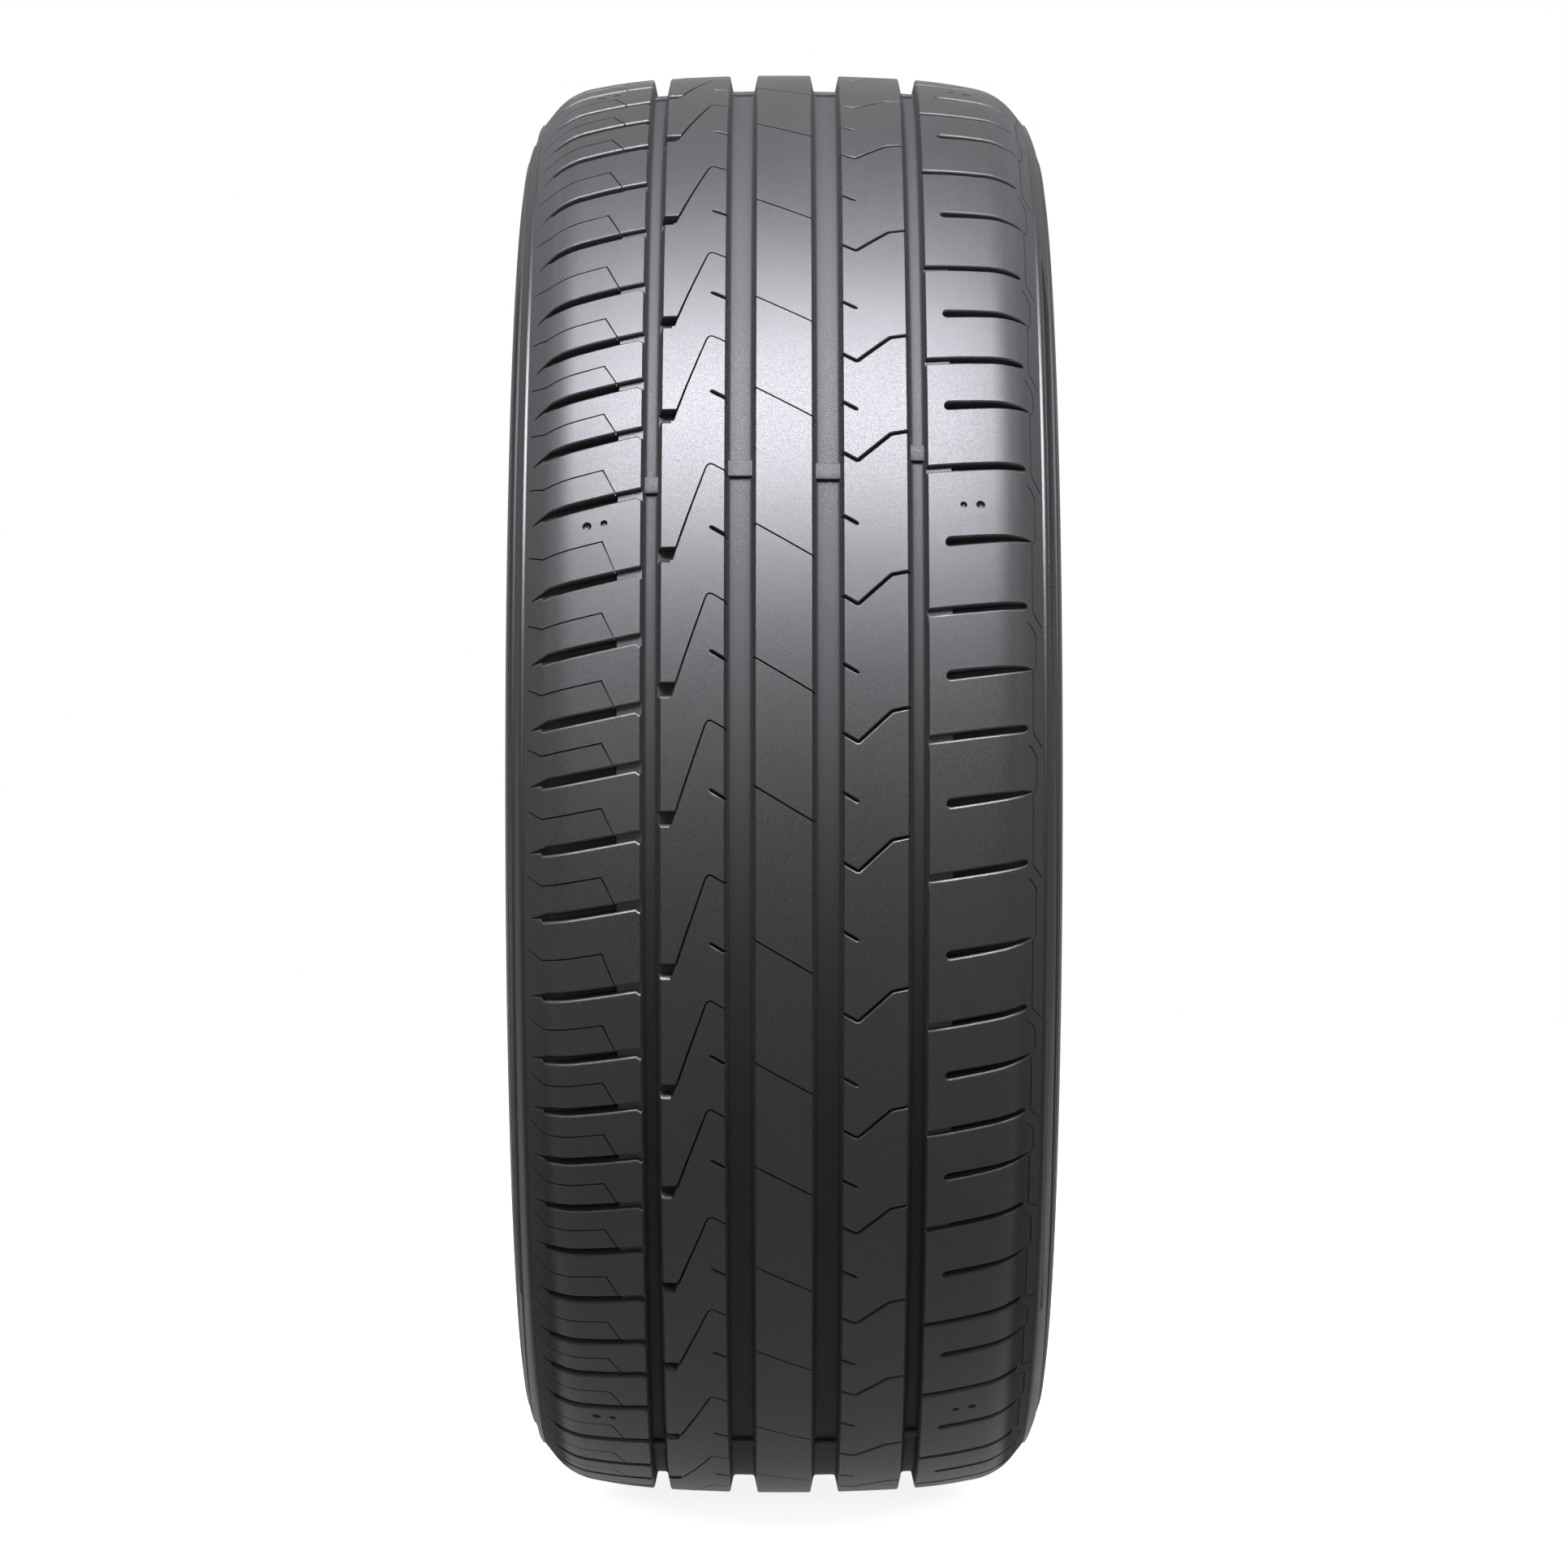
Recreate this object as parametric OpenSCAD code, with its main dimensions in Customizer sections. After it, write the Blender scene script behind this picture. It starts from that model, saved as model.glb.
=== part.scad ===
// Low-profile road tyre for a 17 inch rim, with an asymmetric tread.
// The axle runs along Y and the origin is the centre of the tyre, so the
// tread that faces +X shows the side of the pattern drawn below: "left" is
// -Y, "right" is +Y, and angles grow from +X towards +Z.

/* [Overall size] */
// Outside diameter over the middle of the tread
outside_d = 634; // [622:1:650]
// Width over the two sidewalls
section_w = 228.6; // [224:0.1:236]
// Diameter of the bead seats, the specified size of the rim
bead_seat_d = 436.6; // [430:0.1:440]
// Distance between the heels of the two beads, the width of the rim
rim_w = 190.5; // [184:0.1:200]

/* [Tread contour] */
// Radius of the arc across the middle of the tread
crown_r = 880; // [700:10:1200]
// Half the width of that arc
crown_half_w = 52; // [45:1:60]
// Radius of the arc across each shoulder block
block_r = 230; // [200:5:300]
// Distance from the middle at which the shoulder starts to turn down
turn_from = 85; // [80:0.5:90]
// Radius of the turn at the edge of the tread
edge_r = 28; // [22:0.5:32]
// Steepness at the end of that turn, in degrees
edge_slope = 49; // [44:1:55]
// Steepness of the flank below the turn, in degrees
flank_slope = 51.5; // [48:0.5:58]

/* [Sidewall] */
// Depth of the small ledge that rings each sidewall, below the middle of the tread
ledge_drop = 22; // [19:0.5:27]
// Depth of the step down to that ledge
ledge_step = 0.8; // [0.4:0.1:2]
// Height at which the sidewalls are widest, as a share of the way from seat to tread
widest_share = 0.453; // [0.4:0.001:0.52]
// Radius of the bulge of the sidewall
bulge_r = 74; // [68:1:90]
// Depth of the smooth rings sunk into the sidewalls
ring_depth = 0.6; // [0.2:0.1:1.5]
// Distance from the ledge to the sunk ring on the right sidewall
right_ring_drop = 8.8; // [1:0.1:14]
// Width of the sunk ring on the right sidewall
right_ring_w = 4.2; // [2:0.1:6]
// Distance from the ledge to the sunk ring on the left sidewall
left_ring_drop = 1.8; // [1:0.1:10]
// Width of the sunk ring on the left sidewall
left_ring_w = 7; // [2:0.1:8]
// Height of the rim flange that the lower sidewall covers
flange_h = 17.3; // [15:0.1:19]
// How far the rib that guards the rim stands above that flange
guard_rise = 8; // [6:0.5:11]
// Radius of the nose of that rib
guard_r = 3; // [2:0.1:4]
// How far that rib stands proud of the sidewall
guard_proud = 0.6; // [0.2:0.1:1.2]

/* [Walls and beads] */
// Thickness from the tread to the cavity, at the middle
crown_t = 16.5; // [14:0.1:20]
// Thickness of the sidewall where it is widest
sidewall_t = 7; // [5:0.1:10]
// Radius of the cavity under the tread, seen in section
cavity_r = 520; // [400:10:800]
// Half the width of the cavity's flat top
cavity_half_w = 74; // [66:1:80]
// Width of each bead, from heel to toe
bead_w = 20; // [18:0.1:24]
// Height of the thick part of each bead, seen from the cavity
bead_core_h = 22; // [16:0.5:26]
// Radius of the heel of each bead
heel_r = 5; // [3:0.1:7]
// Rounding of the toe of each bead
toe_r = 1.2; // [0.5:0.1:2]
// How far the outer face of each bead leans out, half way up the rim flange
bead_lean = 0.8; // [0:0.1:2]

/* [Main grooves] */
// Depth of the four grooves round the tyre
groove_depth = 7.7; // [6:0.1:9]
// Distance from the middle to the near edge of the two centre grooves
centre_rib_half_w = 11.3; // [9:0.1:14]
// Width at the top of the left centre groove
groove_2_w = 13; // [10:0.1:14]
// Width at the top of the right centre groove
groove_3_w = 13.2; // [10:0.1:14]
// Width of the rib to the left of the left centre groove
left_rib_w = 25.3; // [23:0.1:27]
// Width of the rib to the right of the right centre groove
right_rib_w = 25.5; // [23:0.1:27]
// Width at the top of the outer left groove
groove_1_w = 8.6; // [7:0.1:10]
// Width at the top of the outer right groove
groove_4_w = 8.7; // [7:0.1:10]
// How far each wall of a groove slants inwards, at its floor
wall_slant = 1.7; // [0.5:0.1:2.5]
// Rounding where the walls of a groove meet its floor
floor_r = 1.2; // [0.4:0.1:2]
// Width of the bevel along the edges of a groove
groove_bevel = 0.6; // [0.2:0.1:1.2]

/* [Wear bars] */
// Height of the bars that show the legal wear limit
wear_bar_h = 1.6; // [1:0.1:2.5]
// Length of those bars along the groove
wear_bar_l = 7.7; // [4:0.1:12]

/* [Pitch] */
// Length of a short block, as a share of a medium one
short_share = 0.85; // [0.75:0.01:0.95]
// Length of a long block, as a share of a medium one
long_share = 1.216; // [1.1:0.002:1.3]

/* [Left shoulder] */
// Width of the grooves across the left shoulder
left_slot_w = 3.6; // [2.5:0.1:5]
// Width of the thin tail at their outer end
left_tail_w = 1.3; // [0.8:0.1:2]
// Depth of those grooves
left_slot_depth = 6.4; // [4:0.1:7]
// Distance from the main groove to the deep part of those grooves
left_tie_w = 9.4; // [6:0.1:12]
// Depth over the tie bar between them and the main groove
left_tie_depth = 2.8; // [1:0.1:5]
// Length of their deep part, along Y
left_slot_l = 27.8; // [20:0.1:30]
// Slope of those grooves, in degrees
left_slot_slope = 11.4; // [5:0.1:16]
// Length along Y of the thin tail at their outer end
left_tail_l = 7; // [4:0.1:10]
// Slope of that tail, in degrees
left_tail_slope = 23; // [10:1:35]
// Depth of that tail
left_tail_depth = 1.5; // [0.8:0.1:2.5]

/* [Sipes] */
// Width of the thin cuts
sipe_w = 0.8; // [0.5:0.1:1.2]
// Depth of the thin cuts on the ribs
sipe_depth = 5.6; // [3:0.1:6.5]
// Depth of the bent cuts on the left shoulder, at their middle
shoulder_sipe_depth = 4; // [3:0.1:5]
// Distance along Y from the foot of a bent cut to its long leg
sipe_leg_from = 5.9; // [4:0.1:8]
// Length along Y of that leg
sipe_leg_l = 24.2; // [16:0.1:26]
// Slope of that leg, in degrees
sipe_leg_slope = 10.5; // [5:0.5:16]
// Height of the corner of a shoulder cut over its groove, as a share of the block
sipe_corner_share = 0.39; // [0.3:0.01:0.5]

/* [Rib cuts] */
// Width of the cuts that are wider than a sipe
cut_w = 1.6; // [1.2:0.1:2.2]
// Depth of those cuts
cut_depth = 5.2; // [3:0.1:6.5]
// Height of the notch at the foot of each cut of the left rib
notch_h = 5.8; // [4:0.1:7]
// Length along Y of that notch
notch_l = 5.8; // [4:0.1:8]
// Rise of the steep cut of the left rib
steep_rise = 37; // [30:0.5:38]
// Distance from the left centre groove to the tops of the cuts of the left rib
apex_from = 5.5; // [4:0.1:8]
// Slope of all cuts where they run into the centre grooves, in degrees
cut_slope = 31; // [20:1:38]
// Distance from the right centre groove to the first bend of the right rib's cuts
vertex_from = 5.4; // [4:0.1:8]
// Distance from the outer groove to their second bend
bend_from = 6.4; // [4:0.1:9]
// Slope between those bends, in degrees
bend_slope = 43; // [35:1:48]
// Slope from the second bend to the outer groove, in degrees
exit_slope = 11; // [0:1:20]

/* [Right shoulder] */
// Width of the grooves across the right shoulder
right_slot_w = 3; // [2:0.1:4.5]
// Depth of those grooves
right_slot_depth = 6.2; // [4:0.1:7]
// Length along Y of the grooves that run into the main groove
right_slot_l = 40.4; // [34:0.1:42]
// Width of the tie bar between them and the main groove
right_tie_w = 9.8; // [6:0.1:13]
// Depth over that tie bar
right_tie_depth = 2.8; // [1:0.1:5]
// Distance from the main groove to the short grooves between them
blind_slot_from = 7.2; // [4:0.1:12]
// Length along Y of the short grooves
blind_slot_l = 34.4; // [28:0.1:35]
// Width of the short grooves
blind_slot_w = 3.3; // [2:0.1:4.5]
// Slope of both kinds of groove, in degrees
right_slot_slope = 8; // [3:0.1:13]
// Depth at which both kinds run out on the turn
slot_end_depth = 0.8; // [0.4:0.1:2]

/* [Wear markers] */
// Diameter of the large dimples on the shoulders
big_dimple_d = 3.7; // [2:0.1:5]
// Diameter of the small dimples
small_dimple_d = 2.9; // [1.5:0.1:4]
// Depth of the dimples
dimple_depth = 2; // [1:0.1:4]
// Distance between the two dimples of a pair
dimple_gap = 6.9; // [5:0.1:9]
// Distance from the middle to the small dimples
dimple_from = 72.9; // [68:0.1:76]

/* [Hidden] */
$fn = 96;
rubber = [0.075, 0.075, 0.08];
outside_r = outside_d / 2;
bead_seat_r = bead_seat_d / 2;
over = 3; // how far a cutter reaches past the surface that it cuts
sunk = 0.5; // how far a bar reaches into the rubber that it stands on
apex_blunt = 1.9; // size of the facet that blunts the top of a steep cut

// Order of the short, medium and long half pitches, going down from the top
// of the side that faces +X. Every second one starts a whole pitch.
pitch_order = str(
    "MMLLLMSSMLMMSMMLMSSSSMMSMLLM",
    "MMMLLMMSSMMMLLMMMSSSMMLMLMSMMMMSSMMLLMSSSL");
halves = len(pitch_order);
first_pitch = 69.7; // angle at which the order starts, in degrees

// The wear bars lie in rows across the tyre, three rows in each half turn.
wear_rows = [71, 24, -62];
wear_row_shifts = [-1.2, 0, -0.2, 1.3];
marked_blocks = [9, 25, 69, 34, 43, 61];

// Contour of the tread: height of the surface at a distance from the middle.
slope_1 = asin(crown_half_w / crown_r);
slope_2 = asin(sin(slope_1) + (turn_from - crown_half_w) / block_r);
drop_1 = crown_r * (1 - cos(slope_1));
drop_2 = drop_1 + block_r * (cos(slope_1) - cos(slope_2));
drop_3 = drop_2 + edge_r * (cos(slope_2) - cos(edge_slope));
turn_to = turn_from + edge_r * (sin(edge_slope) - sin(slope_2));
ledge_r = outside_r - ledge_drop;
ledge_from = turn_to
    + (outside_r - drop_3 - ledge_r - ledge_step) / tan(flank_slope);
function arc_drop(x, r, from, sin_from) =
    r * (sqrt(1 - pow(sin_from, 2))
        - sqrt(1 - pow(sin_from + (x - from) / r, 2)));
function tread_r(y) = let (a = abs(y)) outside_r - (
    a < crown_half_w ? arc_drop(a, crown_r, 0, 0) :
    a < turn_from ? drop_1 + arc_drop(a, block_r, crown_half_w, sin(slope_1)) :
    a < turn_to ? drop_2 + arc_drop(a, edge_r, turn_from, sin(slope_2)) :
    drop_3 + (a - turn_to) * tan(flank_slope));

// Contour of the sidewall: distance from the middle at a radius.
widest_r = bead_seat_r + widest_share * (outside_r - bead_seat_r);
bulge_centre = section_w / 2 - bulge_r;
function wall_a(r) = bulge_centre + sqrt(pow(bulge_r, 2) - pow(r - widest_r, 2));

function steps(from, to, n) = [for (i = [0:n]) from + (to - from) * i / n];
function bezier(p, q, r, s, n) = [for (i = [0:n]) let (t = i / n, u = 1 - t)
    u * u * u * p + 3 * u * u * t * q + 3 * u * t * t * r + t * t * t * s];
function arc(centre, r, from, to, n) =
    [for (w = steps(from, to, n)) centre + r * [sin(w), cos(w)]];

// Half of the section, as [radius, distance from the middle], from the
// middle of the tread round to the toe of the bead.
guard_nose_r = bead_seat_r + flange_h + guard_rise;
guard_centre = [guard_nose_r, wall_a(guard_nose_r) + guard_proud - guard_r];
guard_foot = guard_centre + guard_r * [-1, 0];
heel_a = rim_w / 2;
toe_a = heel_a - bead_w;
toe_corner = [bead_seat_r, toe_a];
bead_face = [bead_seat_r + flange_h / 2, heel_a + bead_lean];
function outer_half() = concat(
    [for (a = steps(0, crown_half_w, 3)) [tread_r(a), a]],
    without_first([for (a = steps(crown_half_w, turn_from, 2)) [tread_r(a), a]]),
    without_first([for (a = steps(turn_from, turn_to, 4)) [tread_r(a), a]]),
    [[ledge_r + ledge_step, ledge_from], [ledge_r, ledge_from + ledge_step / 3]],
    [for (r = steps(ledge_r, guard_nose_r + guard_r, 10)) [r, wall_a(r)]],
    arc(guard_centre, guard_r, 35, -90, 5),
    without_first(bezier(guard_foot, guard_foot + guard_rise * [-0.1, -0.7],
        bead_face + flange_h * [0.4, 0.1], bead_face, 6)),
    arc([bead_seat_r + heel_r, heel_a - heel_r], heel_r, 0, -90, 4),
    [toe_corner + [0, toe_r], toe_corner + [toe_r, 0]]);

// The cavity inside the tyre, from the middle round to the same toe.
inner_wall_a = section_w / 2 - sidewall_t;
cavity_top_r = outside_r - crown_t;
cavity_edge = [cavity_top_r - pow(cavity_half_w, 2) / (2 * cavity_r), cavity_half_w];
inner_widest = [widest_r, inner_wall_a];
bulge_reach = inner_wall_a - cavity_half_w;
bulge_rise = cavity_edge[0] - widest_r;
function inner_half() = concat(
    [for (a = steps(0, cavity_half_w, 5)) [cavity_top_r - a * a / (2 * cavity_r), a]],
    without_first(bezier(cavity_edge,
        cavity_edge + 0.8 * bulge_reach * [-cavity_half_w / cavity_r, 1],
        inner_widest + [0.72 * bulge_rise, 0], inner_widest, 7)),
    without_first(bezier(inner_widest, inner_widest - [bead_core_h, 0],
        toe_corner + [bead_core_h, toe_r], toe_corner + [bead_core_h / 3, toe_r / 2], 8)),
    [toe_corner + [toe_r, 0]]);

function mirrored(points) = [for (p = points) [p[0], -p[1]]];
function backwards(points) = [for (i = [len(points) - 1:-1:0]) points[i]];
function without_first(points) = [for (i = [1:len(points) - 1]) points[i]];
function without_last(points) = [for (i = [0:len(points) - 2]) points[i]];

// The four grooves round the tyre, as [left edge, right edge], left to right.
grooves = let (
    g2 = -centre_rib_half_w - groove_2_w,
    g3 = centre_rib_half_w + groove_3_w,
    g1 = g2 - left_rib_w,
    g4 = g3 + right_rib_w)
    [[g1 - groove_1_w, g1], [g2, -centre_rib_half_w],
     [centre_rib_half_w, g3], [g4, g4 + groove_4_w]];
function floor_at(g) = tread_r((g[0] + g[1]) / 2) - groove_depth;

// One wall of a groove, from above the tread down to the floor: the groove
// lies on the side that "inwards" points to.
function groove_wall(edge, inwards, bottom) = let (
    top = tread_r(edge),
    bend = floor_r * (1 - sin(45)))
    [for (p = [[top + over, 0], [top, 0], [top - groove_bevel, groove_bevel / 2],
        [bottom + floor_r, wall_slant], [bottom + bend, wall_slant + bend],
        [bottom, wall_slant + floor_r]]) [p[0], edge + inwards * p[1]]];

module groove_section(g) {
    bottom = floor_at(g);
    polygon(concat(groove_wall(g[0], 1, bottom), backwards(groove_wall(g[1], -1, bottom))));
}

module sunk_ring_section(drop, w, side) {
    across = steps(ledge_r - drop - w, ledge_r - drop, 3);
    polygon(concat([for (r = across) [r, side * (wall_a(r) + over)]],
        [for (r = backwards(across)) [r, side * (wall_a(r) - ring_depth)]]));
}

module section() {
    outer = outer_half();
    inner = inner_half();
    difference() {
        polygon(concat(backwards(outer), without_first(mirrored(outer)),
            without_first(backwards(mirrored(inner))), without_first(without_last(inner))));
        for (g = grooves) groove_section(g);
        sunk_ring_section(right_ring_drop, right_ring_w, 1);
        sunk_ring_section(left_ring_drop, left_ring_w, -1);
    }
}

// The body of revolution: its axis is laid along Y.
module body() rotate([-90, 0, 0]) rotate_extrude() section();

// A wear bar is sunk a little into the floor and the walls of its groove.
module wear_bar(g, angle) {
    bottom = floor_at(g);
    sweep = wear_bar_l / bottom * 180 / PI;
    rotate([-90, 0, 0]) rotate([0, 0, -angle - sweep / 2]) rotate_extrude(angle = sweep)
        translate([bottom - sunk, g[0] + wall_slant / 2])
            square([sunk + wear_bar_h, g[1] - g[0] - wall_slant]);
}

module wear_bars() {
    for (half = [0, 180]) for (row = wear_rows) for (i = [0:3])
        wear_bar(grooves[i], row + half + wear_row_shifts[i]);
}

// Angles of the ends of the half pitches: end i is where half pitch i starts.
function share(letter) = letter == "S" ? short_share : letter == "L" ? long_share : 1;
function total(v, i = 0, sum = 0) = i == len(v) ? sum : total(v, i + 1, sum + v[i]);
shares = [for (letter = pitch_order) share(letter)];
medium = 360 / total(shares);
function span_of(i) = medium * shares[(i + halves) % halves];
starts = [for (i = 0, a = first_pitch; i < halves; a = a - span_of(i), i = i + 1) a];
function block_l(i) = span_of(i) * outside_r * PI / 180;

// Frame of the tread at an angle: X is across to the right, Y is up along
// the tread and Z is the distance from the axle.
module at(angle) rotate([0, -angle, 0]) rotate([90, 0, 90]) children();
function arc_angle(l) = l / outside_r * 180 / PI;

// Outline of a band of even width along a bent line.
function way(p, q) = (q - p) / norm(q - p);
function side_of(line, i) = let (
    last = len(line) - 1,
    d = way(line[max(i - 1, 0)], line[max(i, 1)]),
    e = way(line[min(i, last - 1)], line[min(i + 1, last)]),
    m = [-d[1] - e[1], d[0] + e[0]]) m / (1 + d * e);
function band(line, w) = concat(
    [for (i = [0:len(line) - 1]) line[i] + side_of(line, i) * w / 2],
    [for (i = [len(line) - 1:-1:0]) line[i] - side_of(line, i) * w / 2]);

// A cut with a level floor, for the ribs.
module rib_cut(outline, depth) {
    low = min([for (p = outline) tread_r(p[0])]);
    translate([0, 0, low - depth]) linear_extrude(outside_r - low + depth + over) polygon(outline);
}

// A straight groove whose floor follows the turn of the shoulder: its floor is
// a list of [distance from the middle, depth], and it passes through a point.
module slot(through, slope, w, floor) {
    function u(a) = (a - through[0]) / cos(slope);
    translate([through[0], through[1], 0]) rotate([90, 0, slope])
        linear_extrude(w, center = true) polygon(concat(
            [for (p = floor) [u(p[0]), tread_r(p[0]) - p[1]]],
            [[u(floor[len(floor) - 1][0]), outside_r + over], [u(floor[0][0]), outside_r + over]]));
}

// Left shoulder: a groove with a tie bar and a thin tail, and the bent sipe
// that starts at its upper edge and runs out towards the turn.
left_edge = grooves[0][0];
left_tie_a = left_edge - left_tie_w;
module left_slot() {
    end_a = left_tie_a - left_slot_l;
    middle_y = -left_slot_w / 2 / cos(left_slot_slope);
    end_y = middle_y - left_slot_l * tan(left_slot_slope);
    slot([left_tie_a, middle_y], left_slot_slope, left_slot_w,
        [[left_edge + 2 * wall_slant, left_tie_depth], [left_tie_a, left_tie_depth],
         [left_tie_a, left_slot_depth], [end_a + left_slot_l / 4, left_slot_depth * 0.8],
         [end_a, left_tail_depth]]);
    slot([end_a, end_y], left_tail_slope, left_tail_w,
        [for (a = steps(end_a + left_slot_w / 2, end_a - left_tail_l, 2)) [a, left_tail_depth]]);
}

// The bent sipe is cut square to the shoulder half way along its long leg, so
// that it is shallower towards both of its ends.
module left_sipe(block) {
    middle_a = left_tie_a - sipe_leg_from - sipe_leg_l / 2;
    lean = asin(sin(slope_2) + max(0, -middle_a - turn_from) / edge_r);
    rise = sipe_corner_share * block;
    foot = [(left_tie_a - middle_a) / cos(lean), -sipe_w];
    corner = [(left_tie_a - sipe_leg_from - middle_a) / cos(lean), rise];
    kink = [-sipe_leg_l / 2 / cos(lean), rise - sipe_leg_l * tan(sipe_leg_slope)];
    translate([middle_a, 0, tread_r(middle_a)]) rotate([0, -lean, 0])
        translate([0, 0, -shoulder_sipe_depth]) linear_extrude(shoulder_sipe_depth + 2 * over)
            polygon(band([kink, corner, foot], sipe_w));
}

// Right shoulder: grooves with a tie bar, and short ones between them.
right_edge = grooves[3][1];
module right_full_slot() {
    end_a = right_edge + right_slot_l;
    deep_l = right_slot_l - right_tie_w;
    slot([right_edge, 0], right_slot_slope, right_slot_w,
        [[right_edge - 2 * wall_slant, right_tie_depth], [right_edge + right_tie_w, right_tie_depth],
         [right_edge + right_tie_w, right_slot_depth], [end_a - deep_l / 4, right_slot_depth * 0.8],
         [end_a, slot_end_depth]]);
}
module right_blind_slot() {
    from_a = right_edge + blind_slot_from;
    end_a = from_a + blind_slot_l;
    slot([from_a, blind_slot_from * tan(right_slot_slope)], right_slot_slope, blind_slot_w,
        [[from_a, right_slot_depth], [end_a - blind_slot_l / 4, right_slot_depth * 0.8],
         [end_a, slot_end_depth]]);
}

// Left rib: a steep sipe from a notch at the outer groove up to an apex and
// down into the centre groove, and a short cut half a pitch below the apex.
left_rib = [grooves[0][1], grooves[1][0]];
apex = [left_rib[1] - apex_from, 0];
left_cut_end = apex + (apex_from + wall_slant) * [1, -tan(cut_slope)];
module left_rib_cut() {
    notch_from = left_rib[0] - wall_slant;
    foot = [left_rib[0] + notch_l, -steep_rise];
    top = apex - apex_blunt * [1, 1];
    lean = (top[0] - foot[0]) / (top[1] - foot[1]) * notch_h;
    rib_cut(band([foot, top, apex, left_cut_end], sipe_w), sipe_depth);
    rib_cut([[notch_from, foot[1]], foot + [sipe_w / 2, 0],
        foot + [sipe_w / 2 - lean, -notch_h], [notch_from, foot[1] - notch_h]], cut_depth);
}
module left_short_cut() rib_cut(band([apex, left_cut_end], cut_w), cut_depth);

// Centre rib: one sipe straight across.
module centre_sipe() {
    reach = centre_rib_half_w + wall_slant;
    rib_cut(band([[-reach, 0], [reach, -2 * reach * tan(cut_slope)]], sipe_w), sipe_depth);
}

// Right rib: a bent cut right across, and a short cut between two of them.
right_rib = [grooves[2][1], grooves[3][0]];
vertex = [right_rib[0] + vertex_from, 0];
right_cut_start = vertex + (vertex_from + wall_slant) * [-1, tan(cut_slope)];
module right_rib_cut() {
    bend = vertex + (right_rib_w - vertex_from - bend_from) * [1, tan(bend_slope)];
    exit = bend + (bend_from + wall_slant) * [1, tan(exit_slope)];
    rib_cut(band([right_cut_start, vertex, bend, exit], cut_w), cut_depth);
}
module right_short_cut() rib_cut(band([right_cut_start, vertex], cut_w), cut_depth);

module dimple_pair(side) {
    pairs = [[dimple_from, small_dimple_d], [dimple_from + dimple_gap, big_dimple_d]];
    for (p = pairs) translate([side * p[0], 0, tread_r(p[0]) - dimple_depth])
        cylinder(d = p[1], h = dimple_depth + over);
}

// How far each row of features lies above the start of its half pitch, as
// a length along the tread.
left_rib_rise = 46.8;
centre_rise = 20.9;
right_rib_rise = -14.4;
right_full_rise = 10.6;
right_blind_rise = 11.9;

module tread_cuts() {
    for (i = [0:halves - 1]) {
        start = starts[i];
        at(start) left_slot();
        at(start) left_sipe(block_l(i - 1));
        if (i % 2 == 0) {
            at(start + arc_angle(left_rib_rise)) left_rib_cut();
            at(start + arc_angle(centre_rise)) centre_sipe();
            at(start + arc_angle(right_rib_rise)) right_rib_cut();
            at(start + arc_angle(right_blind_rise)) right_blind_slot();
        } else {
            at(start + arc_angle(left_rib_rise)) left_short_cut();
            at(start + arc_angle(right_rib_rise)) right_short_cut();
            at(start + arc_angle(right_full_rise)) right_full_slot();
        }
    }
    for (i = marked_blocks) {
        middle = starts[i] - span_of(i) / 2;
        at(middle) dimple_pair(-1);
        at(middle + arc_angle(right_full_rise)) dimple_pair(1);
    }
}

module tyre() {
    color(rubber) difference() {
        union() {
            body();
            wear_bars();
        }
        tread_cuts();
    }
}

tyre();
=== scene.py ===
import math
import time
import bmesh
import bpy
from mathutils import Matrix, Vector


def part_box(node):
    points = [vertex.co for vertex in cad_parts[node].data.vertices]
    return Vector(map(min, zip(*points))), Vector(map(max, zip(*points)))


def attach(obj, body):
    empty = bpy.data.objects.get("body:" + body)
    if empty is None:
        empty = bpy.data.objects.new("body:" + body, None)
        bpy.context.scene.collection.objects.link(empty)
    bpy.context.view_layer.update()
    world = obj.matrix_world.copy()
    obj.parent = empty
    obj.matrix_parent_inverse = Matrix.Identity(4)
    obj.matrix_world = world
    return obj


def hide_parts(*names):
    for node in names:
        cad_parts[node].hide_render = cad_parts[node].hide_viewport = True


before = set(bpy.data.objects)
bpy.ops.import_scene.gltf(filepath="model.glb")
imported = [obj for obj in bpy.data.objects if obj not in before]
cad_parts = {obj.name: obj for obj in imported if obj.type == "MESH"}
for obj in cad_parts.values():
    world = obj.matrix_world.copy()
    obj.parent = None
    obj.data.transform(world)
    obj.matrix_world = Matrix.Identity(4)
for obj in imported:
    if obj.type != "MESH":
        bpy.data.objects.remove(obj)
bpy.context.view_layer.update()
startTime = time.time()


def stamp(what):
    print(f"{time.time() - startTime:6.1f} s  {what}", flush=True)


# Lengths are in millimetres until a mesh is finished: x across the tread, y along it, z up from it.
low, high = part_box("tyre")
inset = {"tread": 0.02, "wall": 0.05}  # how far the dressed tyre stays inside the box of its solid
outside = 1000 * min(high.x, -low.x, high.z, -low.z) - inset["tread"]
halfWidth = 1000 * min(high.y, -low.y) - inset["wall"]
turn = 2 * math.pi * outside
weldDistance = 2e-6  # metres

contour = {
    "crownRadius": 880,
    "crownHalf": 52,
    "blockRadius": 230,
    "turnFrom": 85,
    "edgeRadius": 28,
    "edgeSlope": 49,
    "flankSlope": 51.5,
}


def slopeOf(degrees):
    return math.tan(math.radians(degrees))


def arcDrop(reach, radius, sineFrom):
    before = math.sqrt(1 - sineFrom ** 2)
    after = math.sqrt(1 - (sineFrom + reach / radius) ** 2)
    return radius * (before - after)


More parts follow.
